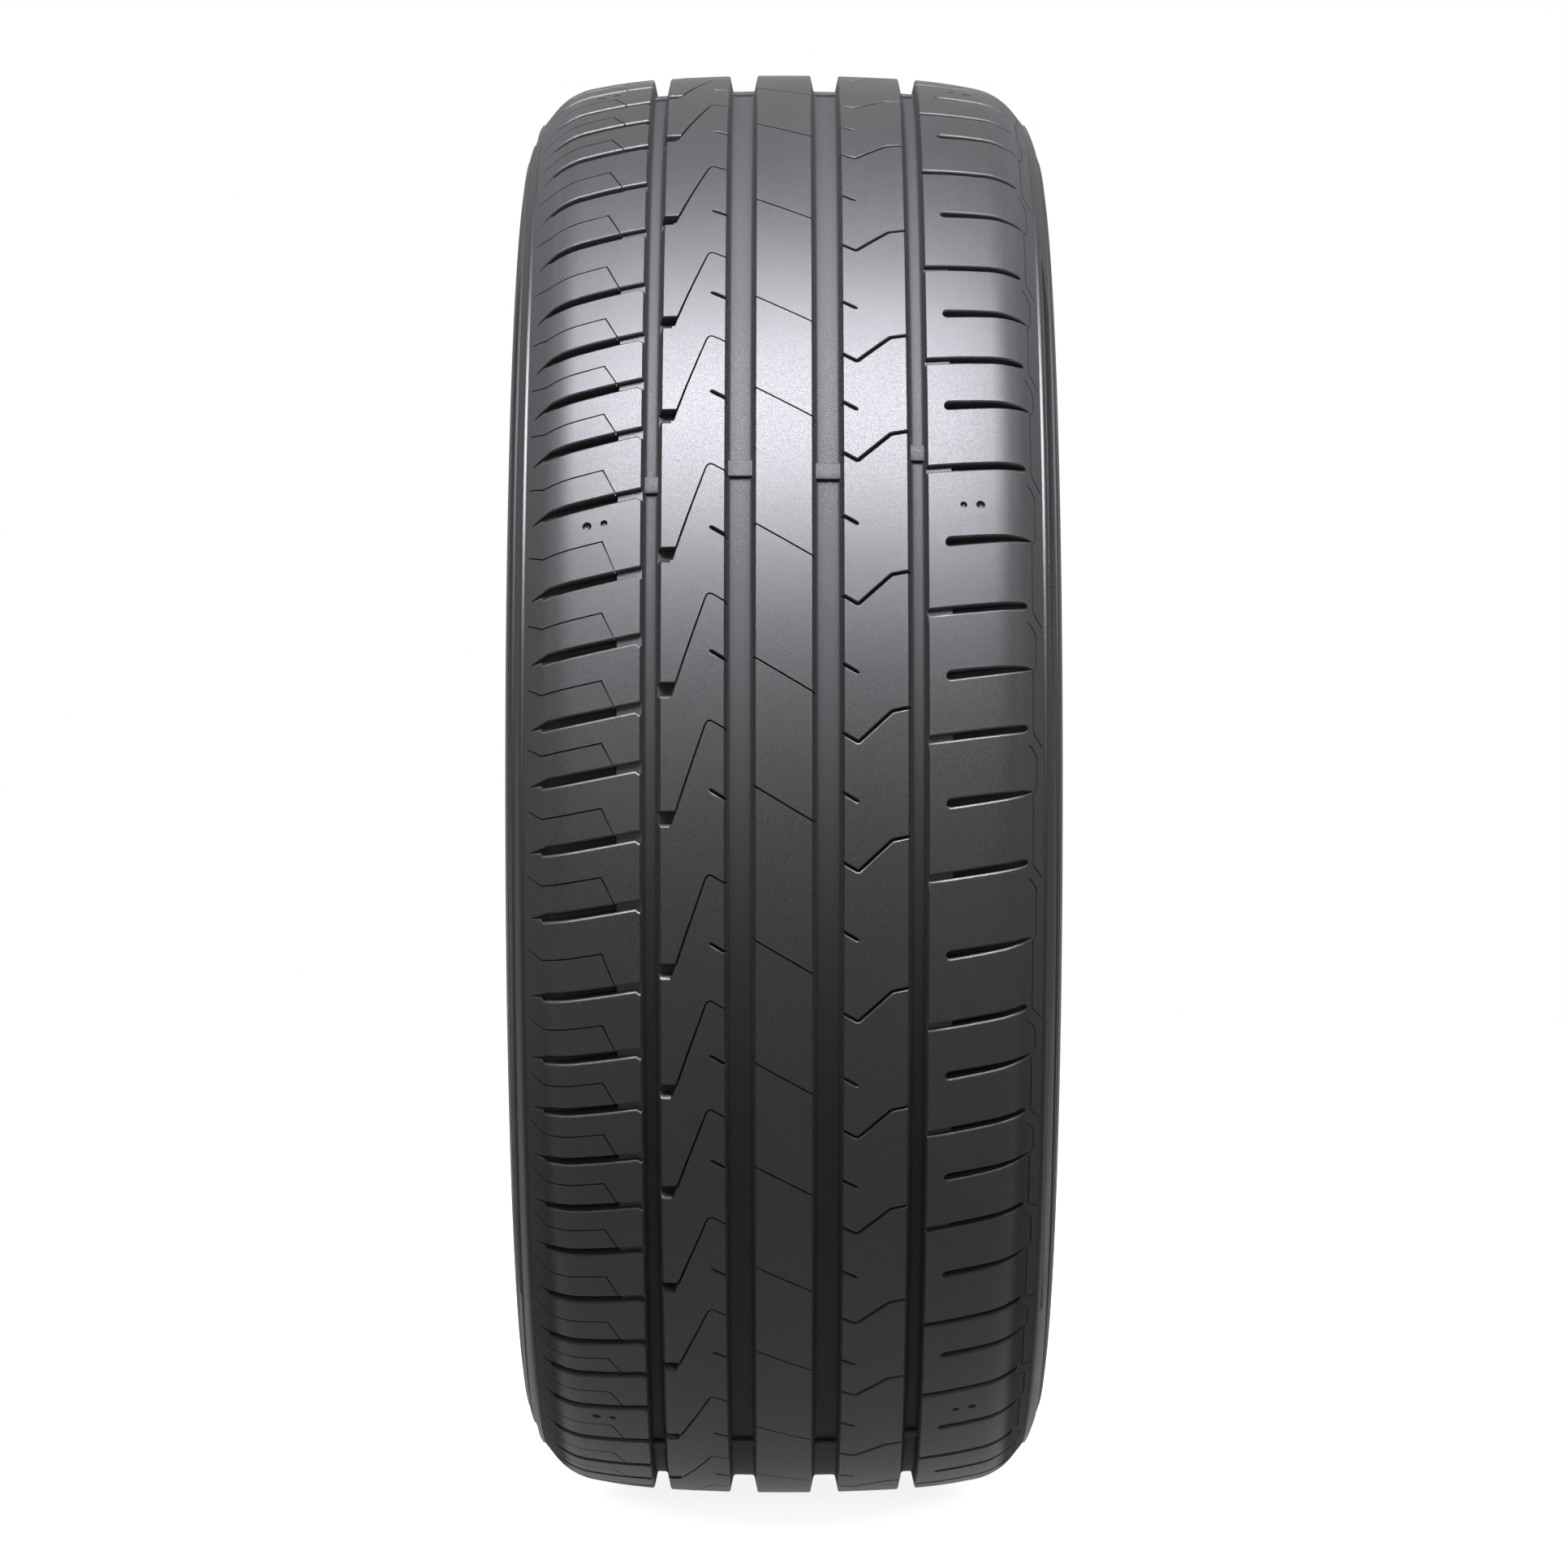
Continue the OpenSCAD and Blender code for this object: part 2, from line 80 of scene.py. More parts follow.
crownSine = contour["crownHalf"] / contour["crownRadius"]
blockReach = contour["turnFrom"] - contour["crownHalf"]
blockSine = crownSine + blockReach / contour["blockRadius"]
crownDrop = arcDrop(contour["crownHalf"], contour["crownRadius"], 0)
blockDrop = crownDrop + arcDrop(blockReach, contour["blockRadius"], crownSine)
edgeSine = math.sin(math.radians(contour["edgeSlope"]))
edgeReach = contour["edgeRadius"] * (edgeSine - blockSine)
flankFrom = contour["turnFrom"] + edgeReach
edgeDrop = blockDrop + arcDrop(edgeReach, contour["edgeRadius"], blockSine)


def treadRadius(across):
    a = abs(across)
    if a < contour["crownHalf"]:
        return outside - arcDrop(a, contour["crownRadius"], 0)
    if a < contour["turnFrom"]:
        reach = a - contour["crownHalf"]
        return outside - crownDrop - arcDrop(reach, contour["blockRadius"], crownSine)
    if a < flankFrom:
        reach = a - contour["turnFrom"]
        return outside - blockDrop - arcDrop(reach, contour["edgeRadius"], blockSine)
    return outside - edgeDrop - (a - flankFrom) * slopeOf(contour["flankSlope"])


# Lengths of the half pitches, going down from the first one on the side that faces the camera.
pitch = {
    "order": "MMLLLMSSMLMMSMMLMSSSSMMSMLLM" + "MMMLLMMSSMMMLLMMMSSSMMLMLMSMMMMSSMMLLMSSSL",
    "short": 0.85,
    "medium": 1.0,
    "long": 1.216,
    "first": 69.7,  # angle in degrees at which the order starts
    "seam": 100.0,  # angle at which the two ends of the slab meet
    "marked": (9, 25, 69, 34, 43, 61),  # half pitches that carry a pair of dimples on each side
}
shareOf = {"S": pitch["short"], "M": pitch["medium"], "L": pitch["long"]}
halves = len(pitch["order"])
mediumSpan = turn / sum(shareOf[letter] for letter in pitch["order"])
spans = [mediumSpan * shareOf[letter] for letter in pitch["order"]]
firstStart = turn * pitch["first"] / 360
seamTop = turn * pitch["seam"] / 360
seamLow = seamTop - turn


def startOf(i):
    rounds, k = divmod(i, halves)
    return firstStart - sum(spans[:k]) - turn * rounds


def spanOf(i):
    return spans[i % halves]


# Helpers that build closed solids in bmesh.
def addTo(bm, part):
    spare = bpy.data.meshes.new("part")
    part.to_mesh(spare)
    part.free()
    bm.from_mesh(spare)
    bpy.data.meshes.remove(spare)


def loft(bm, rings):
    # The first ring is filled, and that face is extruded from ring to ring.
    part = bmesh.new()
    face = part.faces.new([part.verts.new(point) for point in rings[0]])
    for ring in rings[1:]:
        made = bmesh.ops.extrude_face_region(part, geom=[face, *face.edges])["geom"]
        face = [item for item in made if isinstance(item, bmesh.types.BMFace)][0]
        for vert, point in zip(face.verts, ring):
            vert.co = point
    addTo(bm, part)


# Cutting solids reach over the tread, and most flare out there, which rounds the edge of the cut.
cutter = {
    "top": 2.0,
    "over": 0.05,
    "rounding": 0.85,
    "ribRounding": 0.55,
    "roundingShare": 0.7,
    "flare": 1.12,
    "middle": 0.3,
}


def halfSection(width, depth, rounding):
    # Half of a cut's section, from its top down: the upper edge is rounded over.
    half = width / 2
    if not rounding:
        return [(half, cutter["top"]), (half, -depth)]
    soft = min(rounding, depth * cutter["roundingShare"])
    flare = half + soft * cutter["flare"]
    middle = soft * cutter["middle"]
    return [(flare, cutter["top"]), (flare, cutter["over"]),
            (half + middle, -middle), (half, -soft), (half, -depth)]


def strip(bm, stations, rounding=0):
    # Each station of a narrow cut: across, along, width and depth.
    points = [Vector(station[:2]) for station in stations]
    last = len(points) - 1
    rings = []
    for i, (width, depth) in enumerate(station[2:] for station in stations):
        before = (points[max(i, 1)] - points[max(i, 1) - 1]).normalized()
        after = (points[min(i, last - 1) + 1] - points[min(i, last - 1)]).normalized()
        side = Vector((-before.y - after.y, before.x + after.x)) / (1 + before.dot(after))
        half = halfSection(width, depth, rounding)
        one = [(*(points[i] + side * offset), level) for offset, level in half]
        other = [(*(points[i] - side * offset), level) for offset, level in reversed(half)]
        rings.append(one + other)
    loft(bm, rings)


def channel(bm, stations, rounding=0):
    # Each station of a wide cut: across, upper edge, lower edge and depth.
    rings = []
    for across, upper, lower, depth in stations:
        half = halfSection(0, depth, rounding)
        one = [(across, upper + offset, level) for offset, level in half]
        other = [(across, lower - offset, level) for offset, level in reversed(half)]
        rings.append(one + other)
    loft(bm, rings)


def objectFrom(bm, name):
    mesh = bpy.data.meshes.new(name)
    bm.to_mesh(mesh)
    bm.free()
    made = bpy.data.objects.new(name, mesh)
    bpy.context.scene.collection.objects.link(made)
    return made


def flatObject(bm, name):
    bmesh.ops.recalc_face_normals(bm, faces=bm.faces)
    return objectFrom(bm, name)


def combine(body, tool, operation):
    modifier = body.modifiers.new(operation.lower(), "BOOLEAN")
    modifier.operation = operation
    modifier.solver = "EXACT"
    modifier.object = tool
    graph = bpy.context.evaluated_depsgraph_get()
    result = bpy.data.meshes.new_from_object(body.evaluated_get(graph))
    body.modifiers.clear()
    spare = body.data
    body.data = result
    bpy.data.meshes.remove(spare)
    spare = tool.data
    bpy.data.objects.remove(tool)
    bpy.data.meshes.remove(spare)


# Tread: a flat slab with its grooves, which is cut and then wrapped round the axle.
tread = {
    "end": 105.4,
    "under": -11.0,
    "blocks": 70,
    "rows": 350,
    "columns": (-100.8, -97.6, -94.3, -91, -88, -85, -76, -67, -37, 0,
                37, 67, 76, 85, 88, 91, 94.3, 97.6, 100.8),
    "grooves": ((-58.2, -49.6), (-24.3, -11.3), (11.3, 24.5), (50.0, 58.7)),
    "grooveDepth": 7.7,
    "wallSlant": 1.7,
    "floorRadius": 1.2,
    "grooveBevel": 0.45,
    "sliceDistance": 0.002,
    "flat": 0.9995,  # a normal that stands higher belongs to the top of the tread
    "nearTop": -0.01,
    "sharpFrom": 50,
    "reachPast": 60,  # length beyond the seam within which a pattern still reaches the slab
}


def grooveLine(edges):
    corner = tread["floorRadius"] * (1 - math.sin(math.pi / 4))
    floor = -tread["grooveDepth"]
    slant = tread["wallSlant"]
    half = [
        (0, 0),
        (tread["grooveBevel"], -tread["grooveBevel"]),
        (slant, floor + tread["floorRadius"]),
        (slant + corner, floor + corner),
        (slant + tread["floorRadius"], floor),
    ]
    left = [(edges[0] + across, level) for across, level in half]
    right = [(edges[1] - across, level) for across, level in reversed(half)]
    return left + right


def treadSlab():
    line = [(-tread["end"], tread["under"]), (-tread["end"], 0)]
    for edges in tread["grooves"]:
        line += grooveLine(edges)
    line += [(tread["end"], 0), (tread["end"], tread["under"])]
    rings = []
    for i in range(tread["blocks"] + 1):
        along = seamLow + turn * i / tread["blocks"]
        rings.append([(across, along, level) for across, level in line])
    bm = bmesh.new()
    loft(bm, rings)
    return flatObject(bm, "tread")


wearBars = {
    "rows": (78.8, 24, -66.6),
    "shifts": (-0.85, 0.45, 0.2, 1.9),
    "height": 1.6,
    "length": 7.7,
    "rounding": 0.5,
    "sunk": 0.5,
}


def wearBarSolids():
    bm = bmesh.new()
    bottom = -tread["grooveDepth"] - wearBars["sunk"]
    top = -tread["grooveDepth"] + wearBars["height"]
    half = wearBars["length"] / 2
    soft = wearBars["rounding"]
    mid = soft * cutter["middle"]
    profile = [(-half, bottom), (-half, top - soft), (-half + mid, top - mid), (-half + soft, top),
               (half - soft, top), (half - mid, top - mid), (half, top - soft), (half, bottom)]
    for edges, shift in zip(tread["grooves"], wearBars["shifts"]):
        for row in [angle + add for angle in wearBars["rows"] for add in (0, 180)]:
            middle = turn * (row + shift) / 360
            if middle > seamTop:
                middle -= turn
            ends = (edges[0] + tread["wallSlant"] / 2, edges[1] - tread["wallSlant"] / 2)
            loft(bm, [[(across, middle + along, level) for along, level in profile]
                      for across in ends])
    return flatObject(bm, "wearBars")


# Slots and sipes of both shoulders. Their stations run from a groove out to the edge of the tread.
shoulders = {
    "leftTie": -67.6,
    "tieDepth": 2.1,
    "leftSlope": 10.8,
    "leftWidth": 3.35,
    "leftTurnSlope": 31,
    "leftTailSlope": 23,
    "sipeRise": 0.39,
    "rightEdge": 58.7,
    "rightSlope": 7.7,
    "rightWidth": 2.5,
    "blindFrom": 65.7,
    "fullRise": 10.6,
    "blindRise": 11.9,
    "blindSlope": 7.6,
    "blindBaseSlope": 8,
    "blindLength": 34.7,
    "lineWidth": 0.5,
    "lineDepth": 0.5,
}


def leftSlot(bm, start):
    def upper(across):
        return start - 0.1 + (across - shoulders["leftTie"]) * slopeOf(shoulders["leftSlope"])

    def lower(across):
        slope = slopeOf(shoulders["leftSlope"] + 0.6)
        return start - 0.1 - shoulders["leftWidth"] + (across - shoulders["leftTie"]) * slope

    turnDown = upper(-95.4) - 2.1 * slopeOf(shoulders["leftTurnSlope"])
    tail = turnDown - 0.35
    tailEnd = tail - 3.9 * slopeOf(shoulders["leftTailSlope"])
    channel(bm, [
        (-54.6, upper(-54.6), lower(-54.6) - 1.8, shoulders["tieDepth"]),
        (-58.3, upper(-58.3), lower(-58.3) - 1.5, shoulders["tieDepth"]),
        (-59.9, upper(-59.9), lower(-59.9), shoulders["tieDepth"]),
        (-67.4, upper(-67.4), lower(-67.4), shoulders["tieDepth"]),
        (-67.8, upper(-67.8), lower(-67.8), 6.4),
        (-86, upper(-86), lower(-86), 5.8),
        (-95.4, upper(-95.4), lower(-95.4), 3.2),
        (-97.5, turnDown, lower(-97.5), 2.1),
        (-98.3, tail, tail - 1.1, 1.5),
        (-102.2, tailEnd, tailEnd - 0.3, 0.5),
    ], cutter["rounding"])


def leftSipe(bm, start, block):
    corner = start + shoulders["sipeRise"] * block
    kink = corner - 5.0
    strip(bm, [
        (-68.0, start - 0.9, 0.5, 1.4),
        (-73.6, corner, 0.6, 2.6),
        (-86, corner - 2.55, 0.65, 4),
        (-97.95, kink, 0.6, 2),
        (-103.9, kink + 3.2, 0.45, 0.5),
    ])


def rightFullSlot(bm, start):
    def station(across, width, depth):
        middle = start + (across - shoulders["rightEdge"]) * slopeOf(shoulders["rightSlope"])
        return across, middle + width / 2, middle - width / 2, depth

    width = shoulders["rightWidth"]
    channel(bm, [station(*values) for values in [
        (55.2, width, shoulders["tieDepth"]), (68.0, width, shoulders["tieDepth"]),
        (68.4, width, 6.2), (88, width, 5.2),
        (95.6, width, 3.0), (97.3, width * 0.86, 2.1), (98.1, width * 0.5, 1.4),
        (98.5, width * 0.2, 0.5)]], cutter["rounding"])


def rightBlindSlot(bm, start):
    reach = shoulders["blindFrom"] - shoulders["rightEdge"]
    base = start + reach * slopeOf(shoulders["blindBaseSlope"])

    def station(across, width, depth):
        middle = base + (across - shoulders["blindFrom"]) * slopeOf(shoulders["blindSlope"])
        return across, middle + width / 2, middle - width / 2, depth

    channel(bm, [station(*values) for values in [
        (65.3, 1.0, 0.3), (65.7, 1.3, 5.2), (66.2, 2.5, 5.6), (67.3, 3.2, 6.2), (80, 2.8, 5.6),
        (90, 2.3, 4), (97, 1.3, 2), (100.4, 0.1, 0.6)]], cutter["rounding"])


def blindTip(i):
    base = startOf(i) + shoulders["blindRise"]
    reach = shoulders["blindFrom"] - shoulders["rightEdge"]
    rise = reach * slopeOf(shoulders["blindBaseSlope"])
    return base + rise + shoulders["blindLength"] * slopeOf(shoulders["blindSlope"])


def shoulderLines(bm, i):
    # Thin engraved lines that frame the ends of the right slots.
    full = startOf(i) + shoulders["fullRise"]
    above = blindTip(i - 1) - 1.2
    below = blindTip(i + 1)
    thin = (shoulders["lineWidth"], shoulders["lineDepth"])
    strip(bm, [(100.7, above, *thin), (100.7, full + 3.9, *thin), (104.5, full - 2.1, *thin)])
    strip(bm, [(98.9, full - 1.4, *thin), (100.7, full - 3.5, *thin), (102.1, full - 6.45, *thin),
               (102.1, below + 1.7, *thin), (101.7, below + 0.4, *thin), (100.9, below - 0.5, *thin)])


ribs = {
    "leftRise": 46.8,
    "centreRise": 20.9,
    "rightRise": -14.4,
    "apex": -29.8,
    "foot": -43.8,
    "steepRise": 37,
    "notchHeight": 5.35,
    "notchDepth": 5.2,
    "cutSlope": 31,
    "cutWidth": 1.05,
    "cutDepth": 5.2,
    "sipeWidth": 0.7,
    "sipeDepth": 5.6,
    "bendSlope": 43,
    "exitSlope": 11,
    "notchFrom": -51.3,
    "notchLean": 0.34,
    "notchGap": 0.35,
    "stepGap": 0.4,
    "stepLow": 3.1,
    "stepHigh": 0.3,
    "stepDepth": 1.4,
    "centreHalf": 13,
    "leftCutTo": -22.6,
    "rightCutFrom": 29.9,
    "rightCutTo": 22.8,
    # From the blind end on: reach, share of the width, share of the depth.
    "blindShape": ((-0.4, 0.4, 0.08), (0, 0.5, 0.8), (0.35, 0.85, 0.9), (0.9, 1.0, 1.0)),
}


def leftRibNotch(bm, apex):
    foot = apex - ribs["steepRise"]
    base = foot - ribs["notchHeight"]
    wall = ribs["foot"] + ribs["notchGap"]
    lean = ribs["notchLean"] * ribs["notchHeight"]
    edge = ribs["notchFrom"]
    rings = []
    for offset, level in halfSection(0, ribs["notchDepth"], cutter["ribRounding"]):
        rings.append([(edge, foot + offset, level), (edge, base, level),
                      (wall - lean + offset, base, level), (wall + offset, foot + offset, level)])
    loft(bm, rings)


def leftRibStep(bm, apex):
    base = apex - ribs["steepRise"] - ribs["notchHeight"]
    wall = ribs["foot"] - ribs["notchLean"] * ribs["notchHeight"]
    high = base + ribs["stepHigh"]
    profile = [(base - ribs["stepLow"], cutter["top"]), (high, cutter["top"]), (high, -ribs["stepDepth"])]
    loft(bm, [[(across, along, level) for along, level in profile]
              for across in (ribs["notchFrom"], wall - ribs["stepGap"])])


def leftRibSipe(bm, apex):
    foot = apex - ribs["steepRise"]
    deep = ribs["sipeDepth"]
    thin = ribs["sipeWidth"]
    strip(bm, [
        (ribs["foot"], foot - 0.6, 1.0, 4), (ribs["foot"] + 4.1, foot + 12, 0.85, deep),
        (-31.8, apex - 1.9, thin, deep), (-31.1, apex - 0.7, thin, deep),
        (-30.2, apex - 0.15, thin, deep), (-29.2, apex - 0.25, thin, deep),
        (-27.8, apex - 1.05, thin, deep),
        (-22.6, apex - 1.05 - 5.2 * slopeOf(ribs["cutSlope"]), thin, deep),
    ])


def blindCut(bm, blindEnd, along, to, slope):
    # A short cut, narrow and shallow at its blind end, which opens into the groove beside it.
    width, depth = ribs["cutWidth"], ribs["cutDepth"]
    sign = 1 if to > blindEnd else -1
    stations = []
    for reach, wide, deep in ribs["blindShape"]:
        stations.append((blindEnd + sign * reach, along - reach * slope, width * wide, depth * deep))
    stations.append((to, along - abs(to - blindEnd) * slope, width, depth))
    strip(bm, stations, cutter["ribRounding"])


def rightRibCut(bm, vertex):
    width, depth = ribs["cutWidth"], ribs["cutDepth"]
    bend = (43.6, vertex + 13.7 * slopeOf(ribs["bendSlope"]))
    strip(bm, [
        (22.8, vertex + 7.1 * slopeOf(ribs["cutSlope"]), width, depth),
        (29.5, vertex + 0.25, width, depth), (30.3, vertex + 0.3, width, depth),
        (bend[0] - 0.4, bend[1] - 0.5, width, depth), (bend[0] + 0.5, bend[1], width, depth),
        (bend[0] + 8, bend[1] + 8 * slopeOf(ribs["exitSlope"]), width, depth)], cutter["ribRounding"])


def centreRibSipe(bm, along):
    half, thin, deep = ribs["centreHalf"], ribs["sipeWidth"], ribs["sipeDepth"]
    strip(bm, [(-half, along, thin, deep), (half, along - 2 * half * slopeOf(ribs["cutSlope"]), thin, deep)])


# Pairs of dimples on the shoulders that show the wear. Profile: share of the depth, share of the radius.
dimples = {
    "small": {"across": 72.9, "diameter": 2.9, "depth": 1.6},
    "large": {"across": 79.8, "diameter": 3.7, "depth": 1.8},
    "leftRise": 4.2,
    "rightRise": 12.5,
    "leftTilt": -0.9,
    "rightTilt": 0.5,
    "sides": 20,
    "profile": ((0.0, 1.0), (0.7, 0.86), (1.0, 0.6)),
}


def pit(bm, side, along, size):
    across, sides = side * size["across"], dimples["sides"]
    angles = [2 * math.pi * i / sides for i in range(sides)]
    levels = [(-size["depth"] * down, share) for down, share in dimples["profile"]]
    rings = []
    for level, share in [(cutter["top"], 1.0)] + levels:
        radius = size["diameter"] / 2 * share
        rings.append([(across + radius * math.cos(w), along + radius * math.sin(w), level)
                      for w in angles])
    loft(bm, rings)


def dimplePairs(bm, middle):
    for side, name in ((-1, "left"), (1, "right")):
        along = middle + dimples[name + "Rise"]
        pit(bm, side, along, dimples["small"])
        pit(bm, side, along + dimples[name + "Tilt"], dimples["large"])


def cutTread(body):
    wide = bmesh.new()
    thin = bmesh.new()
    for i in range(-halves // 2, halves + halves // 2):
        start = startOf(i)
        if not seamLow - tread["reachPast"] < start < seamTop + tread["reachPast"]:
            continue
        apex = start + ribs["leftRise"]
        vertex = start + ribs["rightRise"]
        leftSlot(wide, start)
        leftSipe(thin, start, spanOf(i - 1))
        if i % 2 == 0:
            leftRibNotch(wide, apex)
            leftRibStep(thin, apex)
            leftRibSipe(thin, apex)
            centreRibSipe(thin, start + ribs["centreRise"])
            rightRibCut(wide, vertex)
            rightBlindSlot(wide, start + shoulders["blindRise"])
        else:
            slope = slopeOf(ribs["cutSlope"])
            blindCut(wide, ribs["apex"], apex, ribs["leftCutTo"], slope)
            blindCut(wide, ribs["rightCutFrom"], vertex, ribs["rightCutTo"], -slope)
            rightFullSlot(wide, start + shoulders["fullRise"])
            shoulderLines(thin, i)
        if i % halves in pitch["marked"]:
            dimplePairs(thin, start - spanOf(i) / 2)
    combine(body, flatObject(wide, "wideCuts"), "DIFFERENCE")
    stamp(f"slots cut, {len(body.data.polygons)} faces")
    combine(body, flatObject(thin, "thinCuts"), "DIFFERENCE")
    stamp(f"sipes cut, {len(body.data.polygons)} faces")


def sliceAt(bm, point, normal):
    everything = bm.verts[:] + bm.edges[:] + bm.faces[:]
    bmesh.ops.bisect_plane(bm, geom=everything, dist=tread["sliceDistance"], plane_co=point, plane_no=normal)


def wrapTread(body):
    bm = bmesh.new()
    bm.from_mesh(body.data)
    caps = []
    for face in bm.faces:
        ends = {round(vert.co.y, 2) for vert in face.verts}
        if len(ends) == 1 and ends.pop() in (round(seamLow, 2), round(seamTop, 2)):
            caps.append(face)
    bmesh.ops.delete(bm, geom=caps, context="FACES_ONLY")
    for k in range(1, tread["rows"]):
        sliceAt(bm, (0, seamLow + turn * k / tread["rows"], 0), (0, 1, 0))
    stamp("tread divided into rows")
    for across in tread["columns"]:
        sliceAt(bm, (across, 0, 0), (1, 0, 0))
    bm.normal_update()
    for edge in bm.edges:
        if len(edge.link_faces) == 2:
            tilts = sorted(face.normal.z for face in edge.link_faces)
            atTop = max(vert.co.z for vert in edge.verts) > tread["nearTop"]
            crisp = atTop and tilts[1] > tread["flat"] > tilts[0]
            edge.smooth = not crisp and edge.calc_face_angle(0) < math.radians(tread["sharpFrom"])
    for vert in bm.verts:
        radius = treadRadius(vert.co.x) + vert.co.z
        angle = vert.co.y / outside
        vert.co = Vector((radius * math.cos(angle), vert.co.x, radius * math.sin(angle))) / 1000
    for face in bm.faces:
        face.smooth = True
    rim = [vert for vert in bm.verts if vert.is_boundary]
    bmesh.ops.remove_doubles(bm, verts=rim, dist=weldDistance)
    openEdges = sum(1 for edge in bm.edges if not edge.is_manifold)
    bmesh.ops.recalc_face_normals(bm, faces=bm.faces)
    triangles = sum(len(face.verts) - 2 for face in bm.faces)
    bm.to_mesh(body.data)
    bm.free()
    stamp(f"tread wrapped, {triangles} triangles, {openEdges} open edges")


treadPiece = treadSlab()
combine(treadPiece, wearBarSolids(), "UNION")
stamp("slab and wear bars")
cutTread(treadPiece)
wrapTread(treadPiece)


# Casing: what lies under the tread, the sidewalls, the beads and the liner, as one section spun round.
casing = {
    "steps": 360,
    "underTread": 9.2,
    "ledge": 295.0,
    "widest": 263.0,
    "bulge": 74.0,
    "seat": 218.3,
    "heel": 95.25,
    "beadWidth": 20.0,
    "flange": 17.3,
    "guardRise": 8.0,
    "guardNose": 3.0,
    "guardProud": 0.6,
    "crown": 16.5,
    "wall": 7.0,
    "cavityHalf": 74.0,
    "cavityRadius": 520.0,
    "coreHeight": 22.0,
    "ledgeCorner": ((-1.6, 102.6), (0, 105.0), (0, 106.35), (-0.12, 106.75), (-0.45, 107.05)),
    "ledgeSkin": 0.6,
    "wallFrom": 1.2,
    "wallStep": 2,
    "wallEnd": 2.5,
    "ringSlope": 0.12,
    "ringClear": 0.3,
    "noseFrom": 38,
    "faceProud": 0.8,
    "heelRadius": 5.0,
    "toeReach": 1.2,
    "toeMiddle": 0.35,
    "linerPull": 0.8,
    "linerTurn": 0.72,
    "linerToe": 1.2,
    "sharpFrom": 38,
}


def wallAcross(radius):
    rise = math.sqrt(casing["bulge"] ** 2 - (radius - casing["widest"]) ** 2)
    return halfWidth - casing["bulge"] + rise


def bezier(p, q, r, s, count):
    points = []
    for i in range(count + 1):
        t = i / count
        u = 1 - t
        points.append(tuple(u ** 3 * a + 3 * u * u * t * b + 3 * u * t * t * c + t ** 3 * d
                            for a, b, c, d in zip(p, q, r, s)))
    return points


def arc(centre, radius, first, last, count):
    points = []
    for i in range(count + 1):
        w = math.radians(first + (last - first) * i / count)
        points.append((centre[0] + radius * math.sin(w), centre[1] + radius * math.cos(w)))
    return points


# Rings on each sidewall: outer radius, inner radius, height over the wall.
sideRings = {
    1: ((286.2, 282.0, -0.6), (279.6, 278.8, 0.25), (251.4, 250.6, 0.25)),
    -1: ((293.2, 286.2, -0.6), (279.6, 278.8, 0.25), (251.4, 250.6, 0.25)),
}


def outerLine(side):
    # From the ledge beside the tread, down the wall and round the guard and the bead: radius, across.
    ledge, seat, slope = casing["ledge"], casing["seat"], casing["ringSlope"]
    points = [(ledge + rise, across) for rise, across in casing["ledgeCorner"]]
    marks = []
    for outer, inner, height in sideRings[side]:
        marks += [(outer + slope, 0), (outer - slope, height), (inner + slope, height), (inner - slope, 0)]
    nose = seat + casing["flange"] + casing["guardRise"]
    stops = [ledge - casing["wallFrom"]]
    while stops[-1] > nose + casing["guardNose"] + casing["wallEnd"]:
        stops.append(stops[-1] - casing["wallStep"])
    radii = sorted({round(r, 3) for r in stops + [m[0] for m in marks]}, reverse=True)
    for radius in radii:
        height = 0
        for outer, inner, level in sideRings[side]:
            if inner - 0.01 <= radius <= outer + 0.01:
                height = level
        near = [m for m in marks if abs(m[0] - radius) < 1e-3]
        if near:
            height = near[0][1]
        if all(near or abs(radius - m[0]) > casing["ringClear"] for m in marks):
            points.append((radius, wallAcross(radius) + height))
    centre = (nose, wallAcross(nose) + casing["guardProud"] - casing["guardNose"])
    points += arc(centre, casing["guardNose"], casing["noseFrom"], -90, 8)
    foot = (centre[0] - casing["guardNose"], centre[1])
    face = (seat + casing["flange"] / 2, casing["heel"] + casing["faceProud"])
    handle = (foot[0] - 0.1 * casing["guardRise"], foot[1] - 0.7 * casing["guardRise"])
    other = (face[0] + 0.4 * casing["flange"], face[1] + 0.1 * casing["flange"])
    points += bezier(foot, handle, other, face, 10)[1:]
    heel = casing["heelRadius"]
    points += arc((seat + heel, casing["heel"] - heel), heel, 0, -90, 6)
    toe = casing["heel"] - casing["beadWidth"]
    reach, middle = casing["toeReach"], casing["toeMiddle"]
    points += [(seat, toe + reach), (seat + middle, toe + middle), (seat + reach, toe)]
    return points


def innerLine():
    # The liner from the middle of the crown down to the toe of the bead: radius, across.
    top = outside - casing["crown"]
    half = casing["cavityHalf"]
    reach = halfWidth - casing["wall"] - half
    edge = (top - half ** 2 / (2 * casing["cavityRadius"]), half)
    widest = (casing["widest"], halfWidth - casing["wall"])
    toe = (casing["seat"], casing["heel"] - casing["beadWidth"])
    core = casing["coreHeight"]
    pull = casing["linerPull"] * reach
    points = []
    for i in range(7):
        across = half * i / 6
        points.append((top - across ** 2 / (2 * casing["cavityRadius"]), across))
    points += bezier(edge, (edge[0] - pull * half / casing["cavityRadius"], edge[1] + pull),
                     (widest[0] + casing["linerTurn"] * (edge[0] - widest[0]), widest[1]), widest, 10)[1:]
    points += bezier(widest, (widest[0] - core, widest[1]), (toe[0] + core, toe[1] + casing["linerToe"]),
                     (toe[0] + core / 3, toe[1] + casing["linerToe"] / 2), 12)[1:]
    return points


